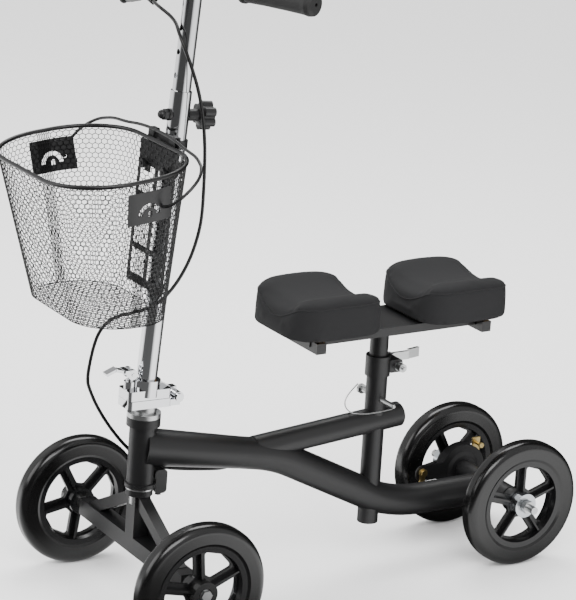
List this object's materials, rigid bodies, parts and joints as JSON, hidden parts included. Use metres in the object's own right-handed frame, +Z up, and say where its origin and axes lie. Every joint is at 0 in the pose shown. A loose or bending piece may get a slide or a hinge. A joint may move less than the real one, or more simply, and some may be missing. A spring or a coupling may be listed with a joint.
{
  "type": "knee scooter",
  "caption": "Steerable knee scooter with a split knee pad, folding height-adjustable column, mesh basket and one hand brake",
  "frame": {"origin": "on the floor under the middle of the scooter's bounding box, between the left and right wheels", "axes": "+X forward, towards the basket; +Y to the rider's left; +Z up"},
  "size_m": [0.9149, 0.4382, 0.9376],
  "materials": {
    "black_paint": "satin black powder coat",
    "basket_wire": "semi-gloss black",
    "chrome": "polished",
    "steel": "zinc plated",
    "gold_zinc": "yellow zinc plated",
    "zinc_caps": "zinc plated",
    "black_caps": "gloss",
    "tyre_black": "semi-gloss",
    "wheel_plastic": "moulded",
    "black_plastic": "moulded",
    "grip_rubber": "soft",
    "cable_jacket": "smooth",
    "pad_cover": "matte vinyl",
    "plywood": "raw"
  },
  "bodies": {
    "frame": {"frame_tubes": "black_paint", "seat_tube": "black_paint", "head_tube": "black_paint", "steering_stop_set": "black_paint", "rear_axle_set": "steel", "headset_cup_set": "black_paint", "brake_cover": "black_paint", "brake_band": "steel", "brake_bolts": "gold_zinc", "seat_collar": "black_paint", "collar_skewer": "steel", "brake_cable_frame": "cable_jacket"},
    "steering": {"steerer_tube": "steel", "headset_nuts": "steel", "fork": "black_paint", "axle_beam": "black_paint", "front_axle_set": "steel", "fold_clamp_base": "chrome", "brake_cable_low": "cable_jacket"},
    "column": {"clamp_top": "chrome", "latch_bolt": "chrome", "column_tube": "chrome", "knob_fittings": "black_plastic", "basket_bracket_set": "black_paint", "brake_cable_middle": "cable_jacket"},
    "fold_lever": {"fold_lever": "chrome"},
    "handlebar": {"inner_tube": "chrome", "handlebar": "chrome", "grips": "grip_rubber", "lever_bracket": "black_plastic", "brake_cable_top": "cable_jacket"},
    "brake_lever": {"brake_lever": "black_plastic"},
    "star_knob": {"star_knob": "black_plastic"},
    "basket": {"basket_mesh": "basket_wire", "basket_rim_wire": "basket_wire", "basket_plates": "black_paint", "basket_hook_set": "black_paint"},
    "bail": {"bail_handle": "basket_wire"},
    "rear_left_wheel": {"rear_left_tyre": "tyre_black", "rear_left_rim": "wheel_plastic", "rear_left_hub": "zinc_caps"},
    "rear_right_wheel": {"rear_right_tyre": "tyre_black", "rear_right_rim": "wheel_plastic", "rear_right_hub": "zinc_caps"},
    "front_left_wheel": {"front_left_tyre": "tyre_black", "front_left_rim": "wheel_plastic", "front_left_hub": "black_caps"},
    "front_right_wheel": {"front_right_tyre": "tyre_black", "front_right_rim": "wheel_plastic", "front_right_hub": "black_caps"},
    "brake_arm": {"brake_arm_set": "gold_zinc"},
    "seat": {"seat_post": "black_paint", "seat_plate_set": "black_paint", "front_knee_pad": "pad_cover", "rear_knee_pad": "pad_cover", "pad_boards": "plywood"},
    "seat_clamp_lever": {"seat_clamp_lever": "steel"},
    "locking_pin": {"locking_pin": "steel", "retaining_wire": "steel"}
  },
  "joints": [
    {"name": "steering", "type": "hinge", "parent": "frame", "child": "steering", "pos_m": [0.2593, 0, 0.1], "axis": [-0.0236, 0, 0.9997], "range_deg": [-50, 50], "deforming": ["brake_cable_low"]},
    {"name": "column_fold", "type": "hinge", "parent": "steering", "child": "column", "pos_m": [0.20905, 0, 0.32208], "axis": [0, 1, 0], "range_deg": [-52, 0], "deforming": ["brake_cable_middle"]},
    {"name": "fold_lever_turn", "type": "hinge", "parent": "column", "child": "fold_lever", "pos_m": [0.27914, 0, 0.36154], "axis": [0, 1, 0], "range_deg": [-86, 0]},
    {"name": "handlebar_height", "type": "slide", "parent": "column", "child": "handlebar", "axis": [-0.0885, 0, 0.9961], "range_m": [-0.066, 0.1], "deforming": ["brake_cable_top"]},
    {"name": "brake_lever_pull", "type": "hinge", "parent": "handlebar", "child": "brake_lever", "pos_m": [0.21087, -0.096, 0.89], "axis": [0.7198, -0.262, 0.6428], "range_deg": [-20, 0], "stiffness_Nm_per_rad": 1, "springref_deg": 17.19},
    {"name": "brake_arm_turn", "type": "hinge", "parent": "frame", "child": "brake_arm", "pos_m": [-0.279, -0.0547, 0.106], "axis": [0, 1, 0], "range_deg": [-12, 0], "deforming": ["brake_cable_frame"]},
    {"name": "star_knob_turn", "type": "hinge", "parent": "column", "child": "star_knob", "pos_m": [0.18901, 0, 0.72873], "axis": [0.9961, 0, 0.0885], "continuous": true},
    {"name": "basket_lift", "type": "slide", "parent": "column", "child": "basket", "axis": [-0.0885, 0, 0.9961], "range_m": [0, 0.013]},
    {"name": "bail_swing", "type": "hinge", "parent": "basket", "child": "bail", "pos_m": [0.319, 0, 0.646], "axis": [0, 1, 0], "range_deg": [0, 95]},
    {"name": "rear_left_spin", "type": "hinge", "parent": "frame", "child": "rear_left_wheel", "pos_m": [-0.357, 0.094, 0.1], "axis": [0, 1, 0], "continuous": true},
    {"name": "rear_right_spin", "type": "hinge", "parent": "frame", "child": "rear_right_wheel", "pos_m": [-0.357, -0.094, 0.1], "axis": [0, 1, 0], "continuous": true},
    {"name": "front_left_spin", "type": "hinge", "parent": "steering", "child": "front_left_wheel", "pos_m": [0.2593, 0.188, 0.1], "axis": [0, 1, 0], "continuous": true},
    {"name": "front_right_spin", "type": "hinge", "parent": "steering", "child": "front_right_wheel", "pos_m": [0.2593, -0.188, 0.1], "axis": [0, 1, 0], "continuous": true},
    {"name": "seat_height", "type": "slide", "parent": "frame", "child": "seat", "axis": [0, 0, 1], "range_m": [0, 0.1]},
    {"name": "seat_clamp_turn", "type": "hinge", "parent": "frame", "child": "seat_clamp_lever", "pos_m": [-0.17, -0.024, 0.3195], "axis": [0, 0, 1], "range_deg": [0, 110]},
    {"name": "locking_pin_pull", "type": "slide", "parent": "frame", "child": "locking_pin", "axis": [0, -1, 0], "range_m": [0, 0.06], "deforming": ["retaining_wire"]}
  ],
  "couplings": [
    {"joint": "brake_arm_turn", "follows": "brake_lever_pull", "ratio": 0.6}
  ]
}
